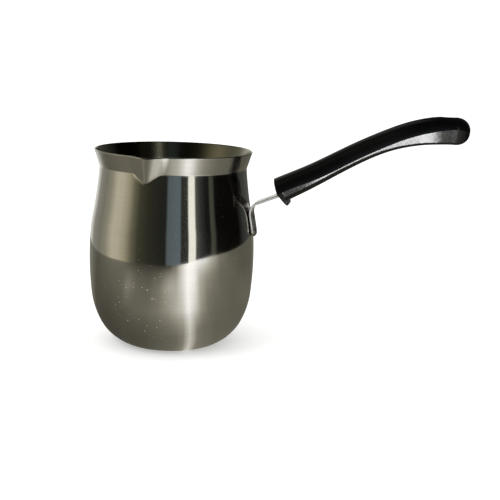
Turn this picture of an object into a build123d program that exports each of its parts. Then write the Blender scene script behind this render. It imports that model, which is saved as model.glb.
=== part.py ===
"""Stove-top coffee pot (cezve): a drawn steel pot with a flared rim and a pinched pouring spout,
a steel strap spot-welded to its side, and a moulded handle screwed to the strap's tongue.

Units are millimetres. The origin is the centre of the pot's flat underside, +Z is up, and the
handle runs out along +X. The spout points close to -Y.
"""

from build123d import *
import os
from math import atan2, cos, radians, sin, sqrt, tan

# ---- driving dimensions: pot ------------------------------------------------------------------
WALL = 0.8  # sheet thickness
POT_HEIGHT = 115.0  # underside to rim
BASE_R = 25.7  # flat disc that the pot stands on
# the body's line runs up from the disc in arcs that touch: radius, turn in degrees
BODY_ARCS = [(7.3, 23.7), (28.6, 38.9), (47.7, 21.2), (201.0, 11.0), (66.0, 6.1)]
NECK_R = 43.1  # crease between the body and the flared rim
NECK_Z = 105.0
RIM_R = 46.3
CREASE_R = 2.0  # bend radius of the neck crease
NECK_LEAN = 4.7  # degrees that the wall leans in just under the neck
PAST_RIM = 6.0  # the tools that shape the rim reach this far above it

# ---- driving dimensions: spout ----------------------------------------------------------------
SPOUT_AZIMUTH = -95.0  # degrees from the handle
SPOUT_TIP_Z = 98.8  # lowest point of the pinch
SPOUT_SKEW = 0.14  # sideways lean of the pinch, for each mm of rise, that ends at the rim
SPOUT_TIP_R = 43.5  # the wall's radius there
SPOUT_NOSE_R = 50.0  # radius of the nose at the rim
SPOUT_HALF_ANGLE = 65.0  # between the pinch's folds and its middle plane, in plan
SPOUT_HALF_WIDTH = 12.0  # plan half width of the pressing tool
SPOUT_NOSE_FILLET = 2.5

# ---- driving dimensions: strap ----------------------------------------------------------------
STRAP_T = 1.4
STRAP_W = 14.0
FOOT_BOTTOM_Z = 66.6
FOOT_TOUCH_Z = 75.0  # height where the flat foot touches the round wall
BEND_R = 6.5
TONGUE_RISE = 22.0  # degrees above level, between the bend and the handle
TONGUE_INSIDE = 32.0  # length held in the handle
STRAP_CORNER_R = 4.0
FACE_GAP = 0.02  # room between the wall and the strap where they would touch
WELD_D = 4.2
WELD_HEIGHTS = [70.6, 78.4]
WELD_DIMPLE = 0.25  # the electrode mark's depth in the strap

# ---- driving dimensions: handle ---------------------------------------------------------------
ENTRY = (62.2, 90.9)  # where the tongue's middle line enters the handle, in the XZ plane
GRIP_ANGLE = 27.5  # degrees above level at the pot end
CREASE = (62.8, 92.5)  # where the two planes of the end face meet, in the XZ plane
GRIP_START = (62.1, 93.8)
GRIP_PATH = [(80, 102.9), (100, 114.2), (120, 124.4), (140, 131.1), (155, 133.0)]
GRIP_TIP = (169.4, 132.5)
# share of the path, half height, half width, height of the side ridge above the middle line
GRIP_SECTIONS = [
    (-0.04, 7.5, 9.4, -1.5),
    (0.09, 7.0, 9.2, -1.6),
    (0.22, 6.4, 8.8, -2.8),
    (0.41, 5.9, 8.5, -3.1),
    (0.58, 5.9, 8.9, -2.7),
    (0.74, 6.9, 10.2, -1.3),
    (0.85, 7.5, 11.3, 0.0),
    (0.93, 7.4, 11.5, 1.2),
]
GRIP_END_SECTIONS = [(0.965, 0.87), (0.988, 0.60), (0.998, 0.28)]  # share of the path, scale
SIDE_DRAFT = 18.0  # degrees that the sides lean in under the ridge
UNDERSIDE_R = 2.2  # rounding between the sides and the underside
LIP_DEPTH = 2.5  # finger guard under the pot end
LIP_LENGTH = 3.5
LIP_SPREAD = 1.0
FACE_DRAFT_UP = 7.0  # degrees that the end face leans back above and below its crease
FACE_DRAFT_DOWN = 15.0
HANG_HOLE_R = 3.5
HANG_HOLE_SHARE = 0.895  # place of the hanging hole along the path

# ---- driving dimensions: screw ----------------------------------------------------------------
SCREW_AT = 20.0  # along the tongue from the entry
SCREW_R = 1.9
SCREW_TOP = 5.6  # end of the screw above the tongue's middle
SCREW_SEAT = 2.3  # underside of the head below the tongue's middle
SCREW_HEAD_R = 3.3
SCREW_HEAD_T = 1.6
SCREW_HEAD_ROUND = 0.8
SCREW_POCKET_R = 3.9
CROSS_WIDTH = 0.9
CROSS_LENGTH = 3.4
CROSS_DEPTH = 0.9
TONGUE_HOLE_R = 2.3
PILOT_ROOM = 0.05


def side_view(x, z):
    """A point of the XZ plane."""
    return Vector(x, 0, z)


# ---- pot --------------------------------------------------------------------------------------
def body_line(inset=0.0):
    """Line of the body from the base disc to the neck, moved into the pot by the inset."""
    first_r, first_turn = BODY_ARCS[0]
    arcs = [JernArc((BASE_R, inset), (1, 0), first_r - inset, first_turn)]
    for radius, turn in BODY_ARCS[1:]:
        arcs.append(JernArc(arcs[-1] @ 1, arcs[-1] % 1, radius - inset, turn))
    lean = radians(NECK_LEAN)
    neck = (NECK_R - inset * cos(lean), NECK_Z - inset * sin(lean))
    arcs.append(TangentArc(arcs[-1] @ 1, neck, tangent=arcs[-1] % 1))
    return Wire([arc.edge() for arc in arcs])


def turned(line, crease_r):
    """Solid of revolution under a body line, with the flare above it running on past the rim."""
    start, neck = line @ 0, line @ 1
    slope = (RIM_R - NECK_R) / (POT_HEIGHT - NECK_Z)
    top = POT_HEIGHT + PAST_RIM
    flare_end = (neck.X + slope * (top - neck.Y), top)
    closing = Polyline((neck.X, neck.Y), flare_end, (0, top), (0, start.Y), (start.X, start.Y))
    face = make_face([*line.edges(), *closing.edges()])
    crease = face.vertices().sort_by_distance(neck)[0]
    face = fillet(crease, crease_r)
    return revolve(Plane.XZ * face, Axis.Z)


def spout_tool(inset, top):
    """Oblique prism that pushes the spout out: its plan is a blunt V that moves out as it rises."""
    reach = SPOUT_HALF_WIDTH / tan(radians(SPOUT_HALF_ANGLE))
    rise = (SPOUT_NOSE_R - SPOUT_TIP_R) / (POT_HEIGHT - SPOUT_TIP_Z)
    start_z = SPOUT_TIP_Z - 8.0
    nose = SPOUT_TIP_R - rise * (SPOUT_TIP_Z - start_z)
    depth = 12.0
    plan = Polyline(
        (nose, 0),
        (nose - reach, SPOUT_HALF_WIDTH),
        (nose - reach - depth, SPOUT_HALF_WIDTH),
        (nose - reach - depth, -SPOUT_HALF_WIDTH),
        (nose - reach, -SPOUT_HALF_WIDTH),
        close=True,
    )
    face = make_face(plan)
    tip = face.vertices().sort_by_distance((nose, 0))[0]
    face = fillet(tip, SPOUT_NOSE_FILLET)
    if inset:
        face = offset(face, -inset)
    start_y = -SPOUT_SKEW * (POT_HEIGHT - start_z)
    prism = extrude(Pos(0, start_y, start_z) * face, amount=top - start_z, dir=(rise, SPOUT_SKEW, 1))
    return Rot(0, 0, SPOUT_AZIMUTH) * prism


def pot_solids():
    """The drawn pot, and the same pot filled solid, which trims what is welded to it."""
    top = POT_HEIGHT + PAST_RIM / 2
    trim = Pos(0, 0, POT_HEIGHT / 2) * Box(4 * RIM_R, 4 * RIM_R, POT_HEIGHT)
    filled = (turned(body_line(), CREASE_R) + spout_tool(0, top)) & trim
    hollow = turned(body_line(WALL), CREASE_R + WALL) + spout_tool(WALL / cos(radians(20)), top)
    return filled - hollow, filled


# ---- strap ------------------------------------------------------------------------------------
def wall_at(height):
    """Radius and slope of the body's outer line at a height."""
    low, high = 0.0, 1.0
    curve = body_line()
    for _ in range(40):
        middle = (low + high) / 2
        if (curve @ middle).Y < height:
            low = middle
        else:
            high = middle
    tangent = curve % low
    return (curve @ low).X, tangent.X / tangent.Y


def strap_points():
    """Middle line of the strap in side view: foot, bend corner, entry and tongue end."""
    touch_r, slope = wall_at(FOOT_TOUCH_Z)
    offset_x = (STRAP_T / 2 + FACE_GAP) * sqrt(1 + slope**2)
    foot_x = touch_r + offset_x
    rise = tan(radians(TONGUE_RISE))
    # the foot's line x = foot_x + slope (z - touch) meets the tongue's line through the entry
    corner_z = (ENTRY[1] + rise * (foot_x - slope * FOOT_TOUCH_Z - ENTRY[0])) / (1 - rise * slope)
    corner = (foot_x + slope * (corner_z - FOOT_TOUCH_Z), corner_z)
    foot = (foot_x + slope * (FOOT_BOTTOM_Z - FOOT_TOUCH_Z), FOOT_BOTTOM_Z)
    grip = radians(GRIP_ANGLE)
    end = (ENTRY[0] + TONGUE_INSIDE * cos(grip), ENTRY[1] + TONGUE_INSIDE * sin(grip))
    return foot, corner, ENTRY, end


def tongue_frame(along, up=0.0):
    """Plane at a place on the tongue inside the handle, with its normal out of the tongue's top."""
    grip = radians(GRIP_ANGLE)
    x = ENTRY[0] + along * cos(grip) - up * sin(grip)
    z = ENTRY[1] + along * sin(grip) + up * cos(grip)
    return Plane(side_view(x, z), x_dir=(cos(grip), 0, sin(grip)), z_dir=(-sin(grip), 0, cos(grip)))


def strap_solid():
    """Bent strip with rounded ends, a screw hole and two weld holes."""
    path = FilletPolyline(*strap_points(), radius=[BEND_R, BEND_R])
    strip = trace(path, line_width=STRAP_T)
    solid = extrude(Plane.XZ * strip, amount=STRAP_W / 2, both=True)
    corners = solid.edges().filter_by(GeomType.LINE)
    corners = [edge for edge in corners if abs(edge.length - STRAP_T) < 0.01]
    solid = fillet(corners, STRAP_CORNER_R)
    solid -= tongue_frame(SCREW_AT) * Cylinder(TONGUE_HOLE_R, 4 * STRAP_T)
    for height in WELD_HEIGHTS:
        solid -= weld_frame(height) * Cylinder(WELD_D / 2, 4 * STRAP_T)
    return solid


def weld_frame(height):
    """Plane on the strap's middle line at a height on the foot, facing away from the pot."""
    touch_r, slope = wall_at(FOOT_TOUCH_Z)
    x = touch_r + (STRAP_T / 2 + FACE_GAP) * sqrt(1 + slope**2) + slope * (height - FOOT_TOUCH_Z)
    lean = atan2(-slope, 1.0)
    return Plane(side_view(x, height), x_dir=(0, 1, 0), z_dir=(cos(lean), 0, sin(lean)))


def weld_solids(filled_pot):
    """Weld nuggets: each fills its hole in the strap and ends on the pot's wall."""
    nuggets = []
    for height in WELD_HEIGHTS:
        frame = weld_frame(height)
        outer = STRAP_T / 2 - WELD_DIMPLE
        depth = STRAP_T + 1.5
        bar = frame * Pos(0, 0, outer - depth / 2) * Cylinder(WELD_D / 2, depth)
        nuggets.append((bar - filled_pot).solids().sort_by(Axis.X)[-1])
    return Compound(nuggets)


# ---- handle -----------------------------------------------------------------------------------
def grip_curve():
    """Middle line of the handle in side view."""
    grip = radians(GRIP_ANGLE)
    points = [side_view(*p) for p in (GRIP_START, *GRIP_PATH, GRIP_TIP)]
    return Spline(*points, tangents=[(cos(grip), 0, sin(grip)), (1, 0, -0.06)])


def grip_frame(curve, share):
    """Plane across the handle at a share of its path; a negative share runs on before the start."""
    held = max(share, 0.0)
    point, tangent = curve @ held, curve % held
    point += tangent * (share - held) * curve.length
    return Plane(point, x_dir=(0, 1, 0), z_dir=tangent)


def grip_section(half_height, half_width, ridge, drop=0.0, spread=0.0, scale=1.0):
    """Closed section: a domed top over a ridge on each side, and drafted sides to the underside."""
    foot_y = -half_height - drop
    foot_x = half_width - (ridge + half_height) * tan(radians(SIDE_DRAFT)) + spread
    dome = EllipticalCenterArc(
        (0, ridge), half_width, half_height - ridge, start_angle=0, arc_size=180
    )
    lower = Polyline((-half_width, ridge), (-foot_x, foot_y), (foot_x, foot_y), (half_width, ridge))
    face = make_face([*dome.edges(), *lower.edges()])
    face = fillet(face.vertices().sort_by(Axis.Y)[:2], UNDERSIDE_R)
    return face.scale(scale)


def grip_solid():
    """Moulded handle with its finger guard, tongue slot, screw pocket and hanging hole."""
    curve = grip_curve()
    sections = [grip_frame(curve, s[0]) * grip_section(*s[1:]) for s in GRIP_SECTIONS]
    last = GRIP_SECTIONS[-1]
    for share, scale in GRIP_END_SECTIONS:
        sections.append(grip_frame(curve, share) * grip_section(*last[1:], scale=scale))
    solid = loft(sections)
    first = GRIP_SECTIONS[0]
    guard = grip_frame(curve, first[0]) * grip_section(*first[1:], drop=LIP_DEPTH, spread=LIP_SPREAD)
    guard_length = LIP_LENGTH - first[0] * curve.length
    lower_half = tongue_frame(0) * Pos(0, 0, -20) * Box(60, 60, 40)
    solid += extrude(guard, amount=guard_length, dir=(curve % 0)) & lower_half
    # the end face is two drafted planes that meet in a crease above the tongue
    crease = Plane(side_view(*CREASE), x_dir=tongue_frame(0).x_dir, z_dir=tongue_frame(0).z_dir)
    for draft, side in ((FACE_DRAFT_UP, 1), (FACE_DRAFT_DOWN, -1)):
        block = Pos(-20, 0, 0) * Box(40, 60, 60)
        solid -= crease * Rot(0, side * draft, 0) * block
    slot_room = 0.1
    slot_length = TONGUE_INSIDE + slot_room + 10
    slot = Box(slot_length, STRAP_W + 2 * slot_room, STRAP_T + slot_room)
    middle = TONGUE_INSIDE + slot_room - slot_length / 2
    solid -= tongue_frame(middle, -slot_room / 2) * slot
    screw = tongue_frame(SCREW_AT)
    pilot_top = SCREW_TOP + 0.5
    pilot_length = pilot_top + SCREW_SEAT + 1.0
    pilot = Pos(0, 0, pilot_top - pilot_length / 2) * Cylinder(SCREW_R + PILOT_ROOM, pilot_length)
    solid -= screw * pilot
    pocket = 20.0
    solid -= screw * Pos(0, 0, -SCREW_SEAT - pocket / 2) * Cylinder(SCREW_POCKET_R, pocket)
    hole = grip_frame(curve, HANG_HOLE_SHARE)
    solid -= hole * Rot(90, 0, 0) * Cylinder(HANG_HOLE_R, 60)
    return solid


# ---- screw ------------------------------------------------------------------------------------
def screw_solid():
    """Pan-head screw that is driven up from below, through the tongue into the handle."""
    length = SCREW_TOP + SCREW_SEAT
    shank = Pos(0, 0, SCREW_TOP - length / 2) * Cylinder(SCREW_R, length)
    tip = shank.edges().sort_by(Axis.Z)[-1:]
    shank = chamfer(tip, 0.6)
    head = Pos(0, 0, -SCREW_SEAT - SCREW_HEAD_T / 2) * Cylinder(SCREW_HEAD_R, SCREW_HEAD_T)
    head = fillet(head.edges().sort_by(Axis.Z)[:1], SCREW_HEAD_ROUND)
    cross_z = -SCREW_SEAT - SCREW_HEAD_T + CROSS_DEPTH / 2
    for turn in (45, 135):
        head -= Pos(0, 0, cross_z) * Rot(0, 0, turn) * Box(CROSS_LENGTH, CROSS_WIDTH, CROSS_DEPTH)
    return tongue_frame(SCREW_AT) * (shank + head)


def main():
    os.makedirs("parts", exist_ok=True)
    pot, filled = pot_solids()
    nodes = {
        "pot_body": pot,
        "handle_strap": strap_solid(),
        "spot_welds": weld_solids(filled),
        "handle_grip": grip_solid(),
        "handle_screw": screw_solid(),
    }
    for name, shape in nodes.items():
        export_step(shape, f"parts/{name}.step")


main()
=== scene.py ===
"""Looks of a stove-top coffee pot (cezve), built as a small add-on and run as a script.

The pieces' lengths are millimetres, and the studio's are metres. The origin is the centre of the
pot's flat underside, +Z is up and the handle runs out along +X.
"""

from math import atan2, cos, degrees, hypot, pi, radians, sin, sqrt, tan

import bmesh
import bpy
import numpy as np
from mathutils import Matrix, Vector


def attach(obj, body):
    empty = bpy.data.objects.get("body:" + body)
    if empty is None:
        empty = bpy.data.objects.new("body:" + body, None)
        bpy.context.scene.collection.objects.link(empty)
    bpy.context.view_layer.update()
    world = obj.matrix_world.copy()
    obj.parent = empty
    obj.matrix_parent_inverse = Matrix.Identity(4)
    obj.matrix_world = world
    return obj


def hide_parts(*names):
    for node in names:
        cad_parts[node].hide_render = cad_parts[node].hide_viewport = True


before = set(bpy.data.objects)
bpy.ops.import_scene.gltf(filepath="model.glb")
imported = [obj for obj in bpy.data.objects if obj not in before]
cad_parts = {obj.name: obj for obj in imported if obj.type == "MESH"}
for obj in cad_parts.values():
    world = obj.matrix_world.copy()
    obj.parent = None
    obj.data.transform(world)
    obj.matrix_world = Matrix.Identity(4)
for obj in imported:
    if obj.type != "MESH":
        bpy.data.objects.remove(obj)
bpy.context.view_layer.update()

bl_info = {
    "name": "Coffee Pot Looks",
    "version": (1, 0, 0),
    "blender": (4, 5, 0),
    "location": "View3D > Sidebar > Coffee Pot",
    "description": "Builds the looks of a steel coffee pot with a moulded handle, and its studio",
    "category": "Add Mesh",
}

MM = 0.001

# ---- pot --------------------------------------------------------------------------------------
WALL = 0.8  # sheet thickness
BASE_R = 25.7  # flat disc that the pot stands on
BASE_RINGS = (0.6, 4.0, 10.0, 16.0, 21.0, 24.0, BASE_R)  # radii of the mesh rings across the disc
# the body's line runs up from the disc in arcs that touch: radius, turn in degrees
BODY_ARCS = ((7.3, 23.7), (28.6, 38.9), (47.7, 21.2), (201.0, 11.0), (66.0, 6.1))
NECK = (43.1, 105.0)  # radius and height of the crease under the flared rim
RIM = (46.3, 115.0)  # radius and height of the flared rim
CREASE_R = 2.0  # bend radius of the crease

# ---- spout ------------------------------------------------------------------------------------
SPOUT_AZIMUTH = -95.0  # degrees from the handle
SPOUT_TIP = (43.5, 98.8)  # radius and height of the pinch's lowest point
SPOUT_NOSE_R = 50.0  # radius of the nose at the rim
SPOUT_SKEW = 0.14  # sideways lean of the pinch, for each mm of rise, that ends at the rim
SPOUT_HALF_ANGLE = 65.0  # between the pinch's folds and its middle plane, in plan
SPOUT_ROUND = (1.5, 4.5)  # rounding of the nose at its tip and at the rim
SPOUT_BLEND = 0.7  # rounding of the folds where the pinch leaves the wall
SPOUT_SWELL = 0.5  # extra reach of the nose, and extra rounding of the folds, at the rim
SPOUT_FLAT = 0.16  # radians to each side of the middle where the pinch starts to sink
SPOUT_SINK = 120.0  # depth that it sinks, for each squared radian past there
SPOUT_EXTENT = (0.45, 90.0)  # radians to each side, and lowest height, that the pinch can touch
SPOUT_DIP = 0.8  # depth that the rim is drawn down over the spout
SPOUT_DIP_WIDTH = 0.12  # radians

# ---- strap and welds --------------------------------------------------------------------------
STRAP_T = 1.4
STRAP_W = 14.0
STRAP_GAP = 0.02  # room between the wall and the strap where they would touch
FOOT_BOTTOM_Z = 66.6
FOOT_TOUCH_Z = 75.0  # height where the flat foot touches the round wall
BEND_R = 6.5
TONGUE_RISE = 22.0  # degrees above level, between the bend and the handle
TONGUE_INSIDE = 32.0  # length held in the handle
STRAP_CORNER_R = 4.0
STRAP_EDGE_R = 0.3
WELD_R = 2.1
WELD_HEIGHTS = (70.6, 78.4)

# ---- screw: heights are from the tongue's middle, up through the handle -------------------------
SCREW_AT = 20.0  # distance along the tongue from the handle's end face
SCREW_R = 1.9
SCREW_TOP = 5.6
SCREW_SEAT = 2.3  # depth of the head's seat
SCREW_HEAD_R = 3.3
SCREW_HEAD_T = 1.6
SCREW_HEAD_ROUND = 0.8
SCREW_CHAMFER = 0.6
SCREW_POCKET_R = 3.9
CROSS_SIZE = (3.4, 0.9, 0.9)  # length, width and depth of the head's cross
TONGUE_HOLE_R = 2.3

# ---- handle -----------------------------------------------------------------------------------
ENTRY = (62.2, 90.9)  # where the tongue's middle line enters the handle, in the XZ plane
GRIP_ANGLE = 27.5  # degrees above level at the pot end
CREASE = (62.8, 92.5)  # where the two planes of the end face meet, in the XZ plane
FACE_DRAFTS = (7.0, -15.0)  # lean in degrees of the end face above and below the crease
FACE_EDGE_R = 0.5
GRIP_PATH = (
    (62.1, 93.8),
    (80.0, 102.9),
    (100.0, 114.2),
    (120.0, 124.4),
    (140.0, 131.1),
    (155.0, 133.0),
    (169.4, 132.5),
)
GRIP_END_SLOPE = (1.0, -0.06)
# share of the path, half height, half width, height of the side ridge above the middle line
GRIP_SECTIONS = (
    (-0.04, 7.5, 9.4, -1.5),
    (0.09, 7.0, 9.2, -1.6),
    (0.22, 6.4, 8.8, -2.8),
    (0.41, 5.9, 8.5, -3.1),
    (0.58, 5.9, 8.9, -2.7),
    (0.74, 6.9, 10.2, -1.3),
    (0.85, 7.5, 11.3, 0.0),
    (0.93, 7.4, 11.5, 1.2),
)
GRIP_END = (0.93, 0.998)  # shares of the path between which the end closes
GRIP_END_POWER = 0.46
SIDE_DRAFT = 18.0  # degrees that the sides lean in under the ridge
UNDERSIDE_R = ((-0.04, 4.6), (0.3, 4.4), (0.5, 3.4), (0.7, 2.5), (0.85, 2.2), (1.0, 2.2))
LIP_DEPTH = 2.4
LIP_LENGTH = 3.5
LIP_SPREAD = 1.0
SLOT_ROOM = 0.1  # room around the tongue
HANG_HOLE_R = 3.5
HANG_HOLE_SHARE = 0.895

BOX_SIDES = ((0, 1, 3, 2), (4, 6, 7, 5), (0, 4, 5, 1), (2, 3, 7, 6), (0, 2, 6, 4), (1, 5, 7, 3))


class LooksError(RuntimeError):
    """A piece can't be built as asked."""


# ---- small geometry helpers -------------------------------------------------------------------
def mesh_object(name, vertices, faces, crease_angle=40.0):
    """A smooth-shaded mesh object in the scene; edges sharper than the angle stay crisp."""
    mesh = bpy.data.meshes.new(name)
    mesh.from_pydata([tuple(MM * float(c) for c in v) for v in vertices], [], faces)
    work = bmesh.new()
    work.from_mesh(mesh)
    bmesh.ops.recalc_face_normals(work, faces=work.faces)
    work.to_mesh(mesh)
    work.free()
    mesh.polygons.foreach_set("use_smooth", [True] * len(mesh.polygons))
    mesh.set_sharp_from_angle(angle=radians(crease_angle))
    mesh.update()
    item = bpy.data.objects.new(name, mesh)
    bpy.context.scene.collection.objects.link(item)
    return item


def grid_faces(rows, columns, closed=True, offset=0):
    """Quads of a grid of points stored row by row; a closed grid wraps around its columns."""
    faces = []
    last = columns if closed else columns - 1
    for i in range(rows - 1):
        for j in range(last):
            k = (j + 1) % columns
            low, high = offset + i * columns, offset + (i + 1) * columns
            faces.append((low + j, low + k, high + k, high + j))
    return faces


def box(name, spans, matrix):
    """A box to cut with, from its two ends along each axis of a placed frame."""
    corners = [matrix @ Vector((x, y, z)) for x in spans[0] for y in spans[1] for z in spans[2]]
    return mesh_object(name, corners, BOX_SIDES)


def lathe(name, profile, steps, matrix):
    """Solid of revolution about a placed frame's Z axis; the profile runs from axis to axis."""
    rings = [p for p in profile if p[0] > 1e-9]
    points = []
    for radius, height in rings:
        for j in range(steps):
            turn = 2 * pi * j / steps
            points.append((radius * cos(turn), radius * sin(turn), height))
    faces = grid_faces(len(rings), steps)
    for end, base, flip in ((profile[0], 0, True), (profile[-1], (len(rings) - 1) * steps, False)):
        centre = len(points)
        points.append((0.0, 0.0, end[1]))
        for j in range(steps):
            k = (j + 1) % steps
            faces.append((centre, base + k, base + j) if flip else (centre, base + j, base + k))
    return mesh_object(name, [matrix @ Vector(p) for p in points], faces)


def arc_points(centre, radius, start, end, count):
    """Points of a flat arc, angles in degrees."""
    angles = np.radians(np.linspace(start, end, count))
    return [(centre[0] + radius * cos(a), centre[1] + radius * sin(a)) for a in angles]


def cut(item, cutter, crease_angle=35.0):
    """Takes the cutter's volume out of the item and removes the cutter."""
    before = len(item.data.polygons)
    modifier = item.modifiers.new("cut", "BOOLEAN")
    modifier.operation = "DIFFERENCE"
    modifier.solver = "EXACT"
    modifier.object = cutter
    bpy.context.view_layer.update()
    depsgraph = bpy.context.evaluated_depsgraph_get()
    shape = bpy.data.meshes.new_from_object(item.evaluated_get(depsgraph))
    item.modifiers.clear()
    old = item.data
    item.data = shape
    bpy.data.meshes.remove(old)
    shape.name = item.name
    shape.polygons.foreach_set("use_smooth", [True] * len(shape.polygons))
    shape.set_sharp_from_angle(angle=radians(crease_angle))
    bpy.data.objects.remove(cutter)
    if len(shape.polygons) in (0, before):
        raise LooksError(f"the cut in {item.name} removed nothing or everything")


def hermite(t, start, end, leave, arrive):
    """Value between two values, from how fast the curve leaves one and arrives at the other."""
    t2, t3 = t * t, t * t * t
    low = (2 * t3 - 3 * t2 + 1) * start + (t3 - 2 * t2 + t) * leave
    high = (3 * t2 - 2 * t3) * end + (t3 - t2) * arrive
    return low + high


def smooth_table(rows):
    """A function of the path share that runs smoothly through rows of values."""
    table = np.array(rows, float)
    x, values = table[:, 0], table[:, 1:]
    steps = np.diff(x)[:, None]
    slopes = np.diff(values, axis=0) / steps
    tangents = np.zeros_like(values)
    tangents[1:-1] = (slopes[:-1] * steps[1:] + slopes[1:] * steps[:-1]) / (steps[:-1] + steps[1:])
    tangents[0] = slopes[0]

    def at(share):
        i = int(np.clip(np.searchsorted(x, share) - 1, 0, len(x) - 2))
        h = x[i + 1] - x[i]
        t = float(np.clip((share - x[i]) / h, 0.0, 1.0))
        return hermite(t, values[i], values[i + 1], h * tangents[i], h * tangents[i + 1])

    return at


def distances(points):
    """Distance along a line of points, at each of them."""
    return np.concatenate([[0], np.cumsum(np.linalg.norm(np.diff(points, axis=0), axis=1))])


def line_at(s, line, tangents, along):
    """Place and unit tangent at a distance along a line of points."""
    place = np.array([np.interp(s, along, line[:, c]) for c in (0, 1)])
    t = np.array([np.interp(s, along, tangents[:, c]) for c in (0, 1)])
    return place, t / np.linalg.norm(t)


# ---- pot geometry -----------------------------------------------------------------------------
def turned_line(start, heading, radius, turn, step):
    """Points along an arc that turns left from its heading, or right where the turn is below zero."""
    side = 1.0 if turn > 0 else -1.0
    h = radians(heading)
    centre = (start[0] - side * radius * sin(h), start[1] + side * radius * cos(h))
    count = max(3, int(radius * radians(abs(turn)) / step) + 1)
    headings = np.radians(np.linspace(heading, heading + turn, count + 1))
    return [(centre[0] + side * radius * sin(a), centre[1] - side * radius * cos(a)) for a in headings]


def pot_line():
    """Outer line of the pot from the base disc's centre to the rim, as (radius, height) points."""
    points = [(radius, 0.0) for radius in BASE_RINGS]
    place, heading = points[-1], 0.0
    for radius, turn in BODY_ARCS:
        points += turned_line(place, heading, radius, turn, 0.4 if radius < 10 else 0.9)[1:]
        place, heading = points[-1], heading + turn
    # last arc of the body: it leaves tangent to the others and ends at the neck
    chord = (NECK[0] - place[0], NECK[1] - place[1])
    turn = 2 * (degrees(atan2(chord[1], chord[0])) - heading)
    radius = hypot(*chord) / (2 * sin(radians(abs(turn)) / 2))
    flare = degrees(atan2(RIM[1] - NECK[1], RIM[0] - NECK[0]))
    trim = CREASE_R * tan(radians(heading + turn - flare) / 2)
    shorter = turn * (1 - trim / hypot(*chord))
    points += turned_line(place, heading, radius, shorter, 0.9)[1:]
    points += turned_line(points[-1], heading + shorter, CREASE_R, flare - heading - shorter, 0.09)[1:]
    # straight flare, up to where the rim's rounding starts
    up = np.array([cos(radians(flare)), sin(radians(flare))])
    place = np.array(points[-1])
    reach = (RIM[1] - WALL / 2 * (1 + up[0]) - place[1]) / up[1]
    points += [tuple(place + share * reach * up) for share in np.linspace(0, 1, 22)[1:]]
    return np.array(points)


def spout_azimuths():
    """Azimuths around the pot, set closer together at the spout."""
    fine = np.arange(SPOUT_AZIMUTH - 22.0, SPOUT_AZIMUTH + 18.0, 0.25)
    rest = np.linspace(fine[-1] + 0.25, fine[0] + 360.0, 270, endpoint=False)
    return np.radians(np.concatenate([fine, rest]))


def smooth_max(a, b, k):
    """Larger of two values, with a rounded change-over of width k."""
    h = np.clip(0.5 + 0.5 * (a - b) / k, 0.0, 1.0)
    return a * h + b * (1 - h) + k * h * (1 - h)


def pushed_radius(radius, height, azimuth):
    """Radius of the wall with the pinched spout pushed out of it."""
    phi = azimuth - radians(SPOUT_AZIMUTH)
    rise = (SPOUT_NOSE_R - SPOUT_TIP[0]) / (RIM[1] - SPOUT_TIP[1])
    nose = SPOUT_TIP[0] + rise * (height - SPOUT_TIP[1])
    side = -SPOUT_SKEW * (RIM[1] - height)
    fold = 1 / tan(radians(SPOUT_HALF_ANGLE))
    # the two folds' planes; the divisor is held above zero behind the pot
    right = (nose + side * fold) / np.maximum(np.cos(phi) + np.sin(phi) * fold, 0.3)
    left = (nose - side * fold) / np.maximum(np.cos(phi) - np.sin(phi) * fold, 0.3)
    share = np.clip((height - SPOUT_TIP[1]) / (RIM[1] - SPOUT_TIP[1]), 0.0, 1.0)
    soft = SPOUT_ROUND[0] + share * (SPOUT_ROUND[1] - SPOUT_ROUND[0])
    vee = share * SPOUT_SWELL - smooth_max(-right, -left, soft)
    aside = np.abs((phi + pi) % (2 * pi) - pi)
    vee = vee - SPOUT_SINK * np.maximum(aside - SPOUT_FLAT, 0.0) ** 2
    vee = np.where((aside < SPOUT_EXTENT[0]) & (height > SPOUT_EXTENT[1]), vee, 0.0)
    blend = SPOUT_BLEND + SPOUT_SWELL * np.maximum(0.0, (height - NECK[1]) / (RIM[1] - NECK[1]))
    return smooth_max(np.full_like(vee, radius), vee, blend)


def rim_dip(azimuth, height):
    """How far the rim is drawn down over the spout."""
    phi = (azimuth - radians(SPOUT_AZIMUTH) + pi) % (2 * pi) - pi
    share = np.clip((height - NECK[1]) / (RIM[1] - NECK[1]), 0.0, 1.0)
    return SPOUT_DIP * share**2 * np.exp(-((phi / SPOUT_DIP_WIDTH) ** 2))


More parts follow.
